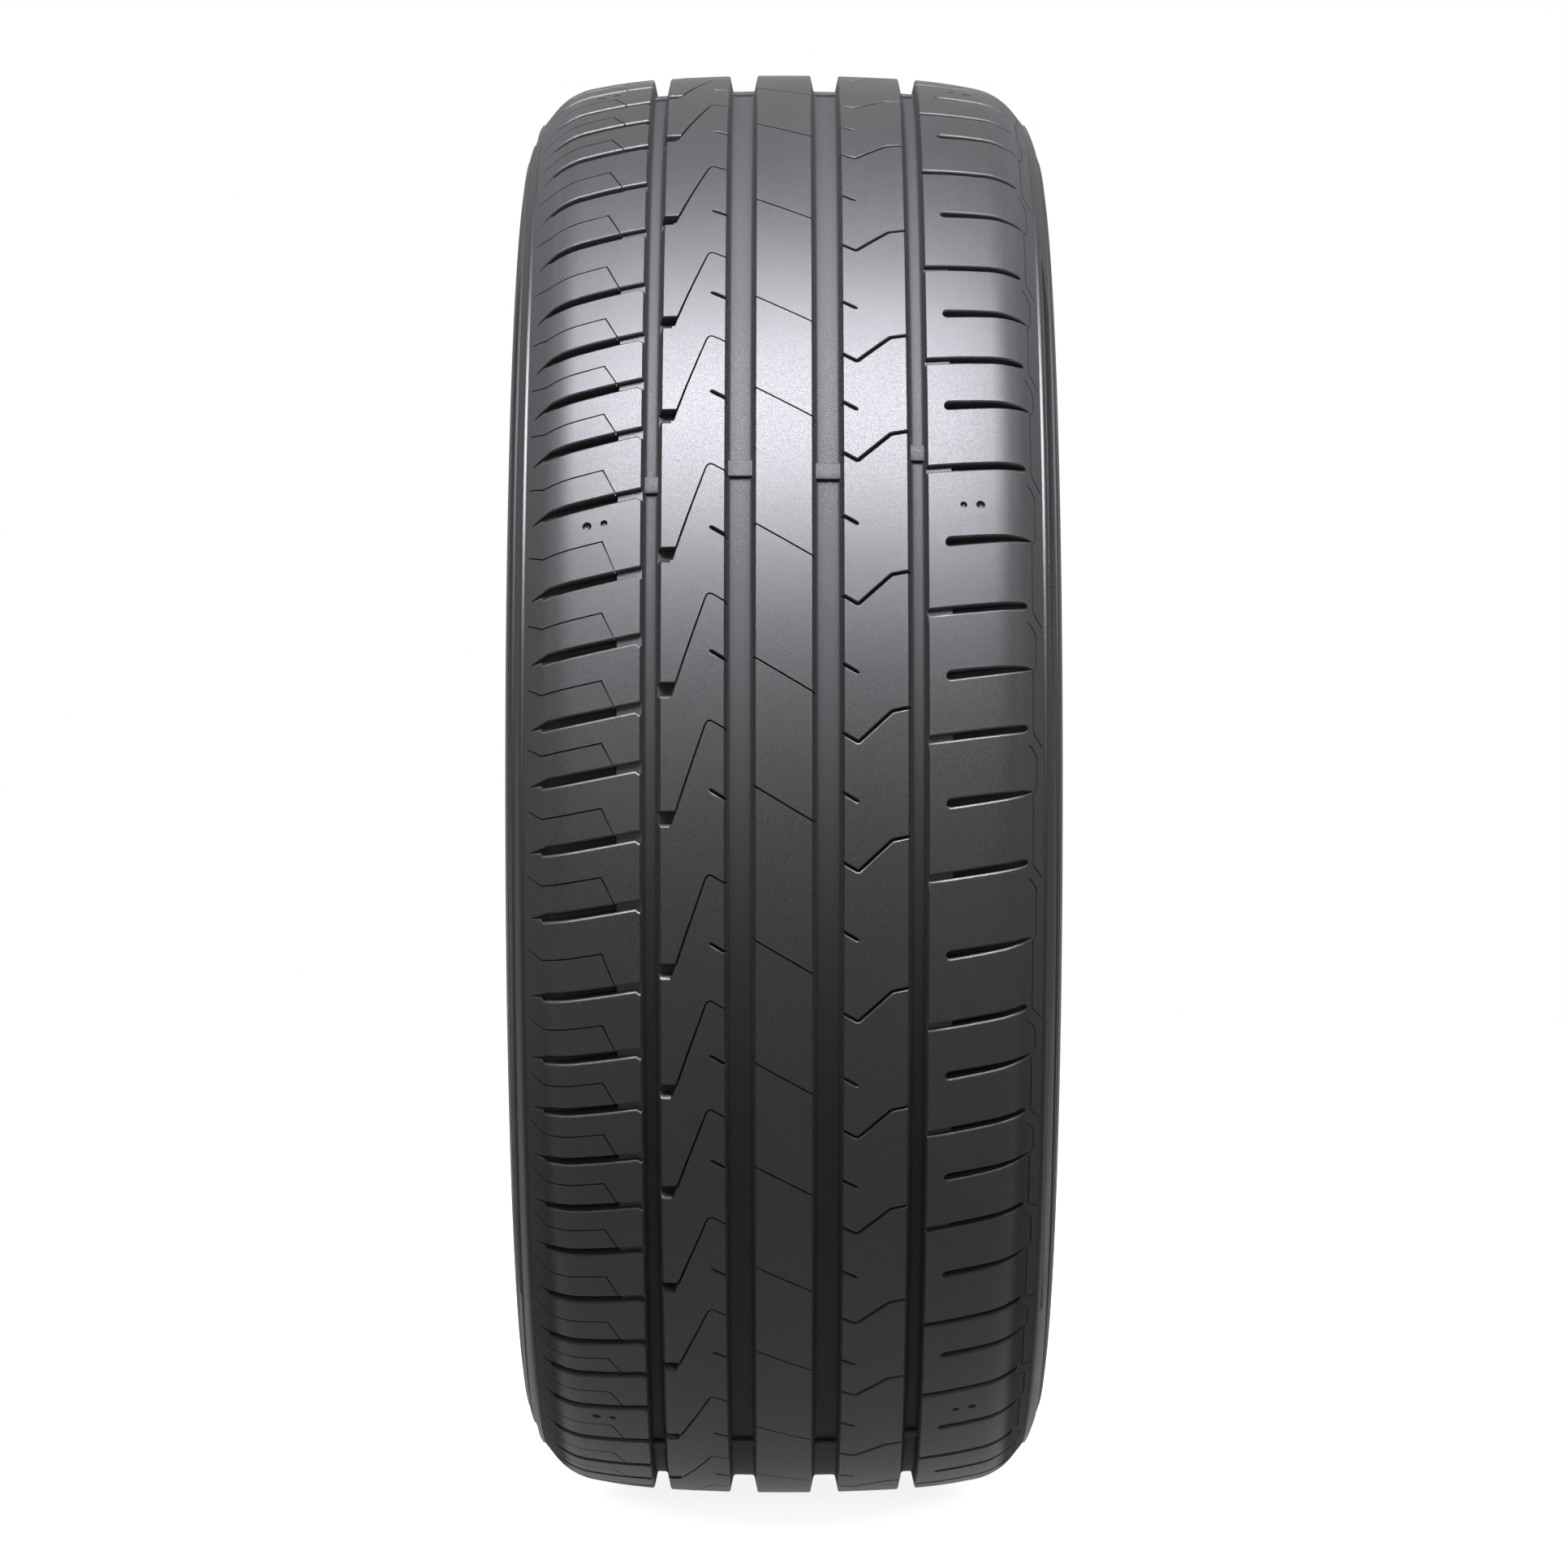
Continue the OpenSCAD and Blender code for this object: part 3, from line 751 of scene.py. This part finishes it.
def spinSection(bm, line, material):
    # An eighth of a turn is spun, then doubled three times.
    part = bmesh.new()
    verts = [part.verts.new((radius / 1000, across / 1000, 0)) for radius, across in line]
    edges = [part.edges.new(pair) for pair in zip(verts, verts[1:])]
    bmesh.ops.spin(part, geom=verts + edges, axis=(0, 1, 0), cent=(0, 0, 0),
                   angle=math.radians(45), steps=casing["steps"] // 8)
    for degrees in (45, 90, 180):
        everything = part.verts[:] + part.edges[:] + part.faces[:]
        copy = bmesh.ops.duplicate(part, geom=everything)["geom"]
        moved = [item for item in copy if isinstance(item, bmesh.types.BMVert)]
        bmesh.ops.rotate(part, verts=moved, matrix=Matrix.Rotation(math.radians(degrees), 3, "Y"))
    for face in part.faces:
        face.material_index = material
    addTo(bm, part)


def casingPiece():
    # Materials: 0 is the wall, 1 the liner and 2 the ledge beside the tread.
    under = []
    for across in (0, 20, 40, 60, 80, 92, 98):
        under.append((treadRadius(across) - casing["underTread"], across))
    right = under + outerLine(1)
    left = under[1:] + outerLine(-1)
    inner = innerLine()
    ring = [(inner[-1][0], -inner[-1][1])] + [(radius, -across) for radius, across in reversed(left)]
    ring += right + [inner[-1]]
    liner = list(reversed(inner)) + [(radius, -across) for radius, across in inner[1:]]
    bm = bmesh.new()
    spinSection(bm, ring, 0)
    spinSection(bm, liner, 1)
    bmesh.ops.remove_doubles(bm, verts=bm.verts, dist=weldDistance)
    ledgeFrom = (casing["ledge"] - casing["ledgeSkin"]) / 1000
    for face in bm.faces:
        face.smooth = True
        middle = face.calc_center_median()
        if math.hypot(middle.x, middle.z) > ledgeFrom and not face.material_index:
            face.material_index = 2
    bmesh.ops.recalc_face_normals(bm, faces=bm.faces)
    for edge in bm.edges:
        if len(edge.link_faces) == 2:
            edge.smooth = edge.calc_face_angle(0) < math.radians(casing["sharpFrom"])
    openEdges = sum(1 for edge in bm.edges if not edge.is_manifold)
    stamp(f"casing, {2 * len(bm.faces)} triangles, {openEdges} open edges")
    return objectFrom(bm, "casing")


casingObject = casingPiece()


# Fine teeth in a band on each sidewall, next to the tread, in front and at the back.
teeth = {
    "sector": 49.0,
    "period": 1.1,
    "proud": 0.35,
    "sunk": 0.25,
    "foot": 0.72,
    "crest": 0.4,
    "slant": 1.1,
    "point": 34.0,
    "shortest": 0.25,
    "endDrop": 0.12,
    "right": (292.8, 286.9),
    "left": (285.6, 281.0),
}


def toothRings(side, angle, outerRadius, reach, middle):
    # A tooth leans along the band, and its crest drops at both of its ends.
    rings = []
    for t in (0, 0.5, 1):
        radius = outerRadius - reach * t
        at = angle + teeth["slant"] * (t - 0.5) / middle * side
        across = wallAcross(radius)
        crest = teeth["proud"] - (teeth["endDrop"] if t != 0.5 else 0)
        ring = []
        for along, height in ((-teeth["foot"] / 2, -teeth["sunk"]), (-teeth["crest"] / 2, crest),
                              (teeth["crest"] / 2, crest), (teeth["foot"] / 2, -teeth["sunk"])):
            w = at + along / radius
            ring.append((radius * math.cos(w) / 1000, side * (across + height) / 1000,
                         radius * math.sin(w) / 1000))
        rings.append(ring)
    return rings


def toothBand(name, side, outerRadius, innerRadius):
    bm = bmesh.new()
    middle = (outerRadius + innerRadius) / 2
    sector = math.radians(teeth["sector"])
    count = int(2 * sector * middle / teeth["period"])
    for back in (0, math.pi):
        for k in range(count):
            toEnd = min(k, count - 1 - k) * teeth["period"]
            share = min(1, teeth["shortest"] + toEnd / teeth["point"])
            angle = back - sector + (k + 0.5) * (2 * sector / count)
            loft(bm, toothRings(side, angle, outerRadius, (outerRadius - innerRadius) * share, middle))
    bmesh.ops.recalc_face_normals(bm, faces=bm.faces)
    stamp(f"{name}, {2 * count} teeth")
    return objectFrom(bm, name)


rightTeeth = toothBand("rightTeeth", 1, *teeth["right"])
leftTeeth = toothBand("leftTeeth", -1, *teeth["left"])


# Materials: a wrapped socket lets sums of shader values read as sums.
def plug(tree, socket, value):
    if isinstance(value, Wire):
        tree.links.new(value.socket, socket)
    else:
        socket.default_value = value


class Wire:
    def __init__(self, tree, socket):
        self.tree = tree
        self.socket = socket

    def worked(self, operation, first, second=0.0):
        node = self.tree.nodes.new("ShaderNodeMath")
        node.operation = operation
        plug(self.tree, node.inputs[0], first)
        plug(self.tree, node.inputs[1], second)
        return Wire(self.tree, node.outputs[0])

    def __add__(self, other):
        return self.worked("ADD", self, other)

    def __radd__(self, other):
        return self.worked("ADD", other, self)

    def __sub__(self, other):
        return self.worked("SUBTRACT", self, other)

    def __rsub__(self, other):
        return self.worked("SUBTRACT", other, self)

    def __mul__(self, other):
        return self.worked("MULTIPLY", self, other)

    def __rmul__(self, other):
        return self.worked("MULTIPLY", other, self)

    def root(self):
        return self.worked("SQRT", self)

    def sine(self):
        return self.worked("SINE", self)

    def angleOver(self, other):
        return self.worked("ARCTAN2", self, other)


class Shader:
    def __init__(self, tree):
        self.tree = tree
        tree.nodes.clear()

    def node(self, kind, settings, sockets, output=0):
        made = self.tree.nodes.new(kind)
        for name, value in settings.items():
            setattr(made, name, value)
        for name, value in sockets.items():
            plug(self.tree, made.inputs[name], value)
        return Wire(self.tree, made.outputs[output]) if made.outputs else None

    def between(self, value, low, high):
        return self.node("ShaderNodeMapRange", {"interpolation_type": "SMOOTHSTEP"},
                         {"Value": value, "From Min": low, "From Max": high})

    def mixed(self, factor, first, second):
        return self.node("ShaderNodeMix", {"data_type": "RGBA"}, {0: factor, 6: first, 7: second}, 2)

    def noise(self, point, scale, detail):
        return self.node("ShaderNodeTexNoise", {}, {"Vector": point, "Scale": scale, "Detail": detail})

    def axis(self, point, letter):
        return self.node("ShaderNodeSeparateXYZ", {}, {"Vector": point}, letter)


def newMaterial(name):
    material = bpy.data.materials.new(name)
    material.use_nodes = True
    shader = Shader(material.node_tree)
    return material, shader


def objectPoint(shader):
    return shader.node("ShaderNodeTexCoord", {}, {}, "Object")


def fromAxle(shader, point):
    x, z = shader.axis(point, "X"), shader.axis(point, "Z")
    return (x * x + z * z).root()


def finish(shader, color, roughness, height, look):
    normal = shader.node("ShaderNodeBump", {}, {
        "Height": height, "Strength": look["bump"], "Distance": look["bumpDistance"]})
    surface = shader.node("ShaderNodeBsdfPrincipled", {}, {
        "Base Color": color, "Roughness": roughness, "Normal": normal, "Specular IOR Level": look["gloss"]})
    shader.node("ShaderNodeOutputMaterial", {}, {"Surface": surface})


treadFinish = {
    "dark": (0.008, 0.0082, 0.009, 1),
    "light": (0.018, 0.0183, 0.0195, 1),
    "gloss": 0.13,
    "grooveRoughness": 0.70,
    "topSmoother": 0.21,
    "flankRougher": 0.2,
    # This value paints shade into the grooves: the top of the tread is that much lighter than the groove
    # walls and floors.
    "paintedGrooveShade": 0.8,
    # This value paints shade on the flank band at both edges of the tread.
    "paintedFlankShade": 0.7,
    "grooveFloor": 0.3128,
    "treadTop": 0.3162,
    "dropSquare": 0.568,
    "dropFourth": 33.7,
    "flankFrom": 0.0086,
    "flankTo": 0.0096,
    "cloudScale": 9,
    "cloudTone": 0.3,
    "cloudRoughness": 0.08,
    "speckScale": 1900,
    "speckTone": 2.3,
    "speckRoughness": 0.4,
    "speckHeight": 0.8,
    "grainScale": 3200,
    "grainHeight": 0.6,
    "bump": 0.1,
    "bumpDistance": 0.0003,
}


def treadRubber():
    look = treadFinish
    material, shader = newMaterial("treadRubber")
    point = objectPoint(shader)
    cloud = shader.noise(point, look["cloudScale"], 3) - 0.5
    speck = shader.noise(point, look["speckScale"], 1)
    grain = shader.noise(point, look["grainScale"], 1)
    # Height over the bottom of the grooves: the drop of the tread towards its edges is added back.
    y = shader.axis(point, "Y")
    square = y * y
    drop = square * look["dropSquare"] + square * square * look["dropFourth"]
    # Below the top of the tread the colour is darker, which is painted shade in the grooves; the same mask
    # also makes the grooves rougher.
    upper = shader.between(fromAxle(shader, point) + drop, look["grooveFloor"], look["treadTop"])
    # The band at the outer edges of the tread gets a darker colour, which is painted shade, and a rougher
    # finish.
    flank = shader.between(square, look["flankFrom"], look["flankTo"])
    toneAndPaintedShade = upper * look["paintedGrooveShade"] - flank * look["paintedFlankShade"]
    toneAndPaintedShade = toneAndPaintedShade + cloud * look["cloudTone"] + (speck - 0.5) * look["speckTone"]
    roughness = look["grooveRoughness"] - upper * look["topSmoother"] + flank * look["flankRougher"]
    roughness = roughness + cloud * look["cloudRoughness"] + (speck - 0.5) * look["speckRoughness"]
    color = shader.mixed(toneAndPaintedShade, look["dark"], look["light"])
    height = grain * look["grainHeight"] + speck * look["speckHeight"]
    finish(shader, color, roughness, height, look)
    return material


wallFinish = {
    "dark": (0.011, 0.0112, 0.012, 1),
    "dusty": (0.016, 0.0163, 0.017, 1),
    "gloss": 0.1,
    "roughness": 0.56,
    "cloudScale": 12,
    "cloudRoughness": 0.14,
    "grainScale": 1300,
    "grainRoughness": 0.1,
    "grainHeight": 0.6,
    "turning": 5200,
    "turningHeight": 0.12,
    "bump": 0.2,
    "bumpDistance": 0.0003,
}


def wallRubber():
    look = wallFinish
    material, shader = newMaterial("wallRubber")
    point = objectPoint(shader)
    cloud = shader.noise(point, look["cloudScale"], 3)
    grain = shader.noise(point, look["grainScale"], 2)
    turning = (fromAxle(shader, point) * look["turning"]).sine()  # the fine marks of the turned mould
    color = shader.mixed(cloud, look["dark"], look["dusty"])
    roughness = look["roughness"] + (cloud - 0.5) * look["cloudRoughness"]
    roughness = roughness + (grain - 0.5) * look["grainRoughness"]
    height = grain * look["grainHeight"] + turning * look["turningHeight"]
    finish(shader, color, roughness, height, look)
    return material


ledgeFinish = {
    "dark": (0.008, 0.0082, 0.009, 1),
    "light": (0.018, 0.0183, 0.0195, 1),
    "gloss": 0.13,
    "roughness": 0.42,
    "speckScale": 1900,
    "speckRoughness": 0.25,
    "bump": 0.08,
    "bumpDistance": 0.0003,
}


def ledgeRubber():
    look = ledgeFinish
    material, shader = newMaterial("ledgeRubber")
    speck = shader.noise(objectPoint(shader), look["speckScale"], 1)
    color = shader.mixed(speck, look["dark"], look["light"])
    roughness = look["roughness"] + (speck - 0.5) * look["speckRoughness"]
    finish(shader, color, roughness, speck, look)
    return material


linerFinish = {
    "dark": (0.018, 0.018, 0.019, 1),
    "dusty": (0.034, 0.034, 0.035, 1),
    "gloss": 0.5,
    "roughness": 0.34,
    "cloudScale": 18,
    "cloudRoughness": 0.16,
    "ripplesRound": 260,
    "ripplesAcross": 900,
    "rippleHeight": 0.5,
    "bump": 0.25,
    "bumpDistance": 0.0005,
}


def linerRubber():
    look = linerFinish
    material, shader = newMaterial("linerRubber")
    point = objectPoint(shader)
    cloud = shader.noise(point, look["cloudScale"], 3)
    angle = shader.axis(point, "Z").angleOver(shader.axis(point, "X"))
    ripple = (angle * look["ripplesRound"] + shader.axis(point, "Y") * look["ripplesAcross"]).sine()
    color = shader.mixed(cloud, look["dark"], look["dusty"])
    roughness = look["roughness"] + (cloud - 0.5) * look["cloudRoughness"]
    finish(shader, color, roughness, ripple * look["rippleHeight"] + cloud, look)
    return material


treadPiece.data.materials.clear()
treadPiece.data.materials.append(treadRubber())
for polygon in treadPiece.data.polygons:
    polygon.material_index = 0
wallMaterial = wallRubber()
for material in (wallMaterial, linerRubber(), ledgeRubber()):
    casingObject.data.materials.append(material)
rightTeeth.data.materials.append(wallMaterial)
leftTeeth.data.materials.append(wallMaterial)
for piece in (treadPiece, casingObject, rightTeeth, leftTeeth):
    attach(piece, "root")
    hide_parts("tyre")
stamp("materials")


# Studio: pale floor, soft lights, white surroundings and the camera of the photograph.
studio = {
    "ambient": 0.28,
    "surroundings": (1, 1, 1, 1),
    "floorGlow": 0.88,
    "floorPaint": (0.45, 0.45, 0.45, 1),
    "floorRadius": 6,
    "floorGap": 0.0005,
    "distance": 2.948,
    "lens": 150.4,
    "sensor": 36,
    "nearest": 0.05,
}
world = bpy.data.worlds.new("studio")
bpy.context.scene.world = world
world.use_nodes = True


def raySeen(shader):
    seen = 0.0
    for ray in ("Is Camera Ray", "Is Glossy Ray", "Is Transmission Ray"):
        seen = seen + shader.node("ShaderNodeLightPath", {}, {}, ray)
    return seen


sky = Shader(world.node_tree)
strength = raySeen(sky) * (1 - studio["ambient"]) + studio["ambient"]
background = sky.node("ShaderNodeBackground", {}, {"Color": studio["surroundings"], "Strength": strength})
sky.node("ShaderNodeOutputWorld", {}, {"Surface": background})


def softLight(name, location, size, power, color=(1, 1, 1)):
    lamp = bpy.data.lights.new(name, "AREA")
    lamp.shape = "RECTANGLE"
    lamp.size, lamp.size_y = size
    lamp.energy = power
    lamp.color = color
    made = bpy.data.objects.new(name, lamp)
    bpy.context.scene.collection.objects.link(made)
    made.location = location
    made.rotation_euler = (-Vector(location)).to_track_quat("-Z", "Y").to_euler()
    return made


# Lamps, all turned to the tyre: place, width and height in metres, watts and colour.
frontLamps = {
    "key": ((1.43, 0, 2.05), (1.8, 1.2), 70, (0.97, 0.98, 1.0)),
    "frontFill": ((1.9, 0, 0.25), (2.0, 0.6), 10, (1.0, 0.95, 0.88)),
}
# The fills have no reflection, so that they don't bleach the edges that the camera sees flat on.
fillLamps = {
    "leftFill": ((-0.4, -2.7, 1.2), (1.4, 1.2), 40),
    "rightFill": ((-0.4, 2.7, 1.2), (1.4, 1.2), 40),
    "backFill": ((-1.9, 0, 1.9), (1.4, 1.2), 30),
}
# Wide soft boxes that only the gloss of the rubber shows: they leave the colours at their plain level.
# Three widths, a little apart, fade their light out towards both sides.
sheenLamps = {
    "sheen0": ((1.42, 0, 2.2), (1.5, 1.5), 310, (0.93, 0.94, 1.0)),
    "sheen1": ((1.44, 0, 2.23), (2.6, 1.5), 530, (0.93, 0.94, 1.0)),
    "sheen2": ((1.46, 0, 2.26), (4.0, 1.5), 815, (0.93, 0.94, 1.0)),
}
for name, values in frontLamps.items():
    softLight(name, *values)
for name, values in fillLamps.items():
    softLight(name, *values).visible_glossy = False
for name, values in sheenLamps.items():
    softLight(name, *values).visible_diffuse = False

floorShape = bmesh.new()
bmesh.ops.create_circle(floorShape, cap_ends=True, segments=96, radius=studio["floorRadius"])
bmesh.ops.translate(floorShape, verts=floorShape.verts, vec=(0, 0, low.z - studio["floorGap"]))
floor = objectFrom(floorShape, "floor")
floorMaterial, floorShader = newMaterial("floorPaint")
glow = raySeen(floorShader) * studio["floorGlow"]
paint = floorShader.node("ShaderNodeBsdfDiffuse", {}, {"Color": studio["floorPaint"]})
light = floorShader.node("ShaderNodeEmission", {}, {"Color": studio["surroundings"], "Strength": glow})
both = floorShader.node("ShaderNodeAddShader", {}, {0: paint, 1: light})
floorShader.node("ShaderNodeOutputMaterial", {}, {"Surface": both})
floor.data.materials.append(floorMaterial)

cameraData = bpy.data.cameras.new("camera")
cameraData.lens = studio["lens"]
cameraData.sensor_width = studio["sensor"]
cameraData.clip_start = studio["nearest"]
camera = bpy.data.objects.new("camera", cameraData)
bpy.context.scene.collection.objects.link(camera)
camera.location = (studio["distance"], 0, 0)
camera.rotation_euler = (math.radians(90), 0, math.radians(90))
bpy.context.scene.camera = camera
bpy.context.scene.view_settings.view_transform = "Standard"
stamp("studio")
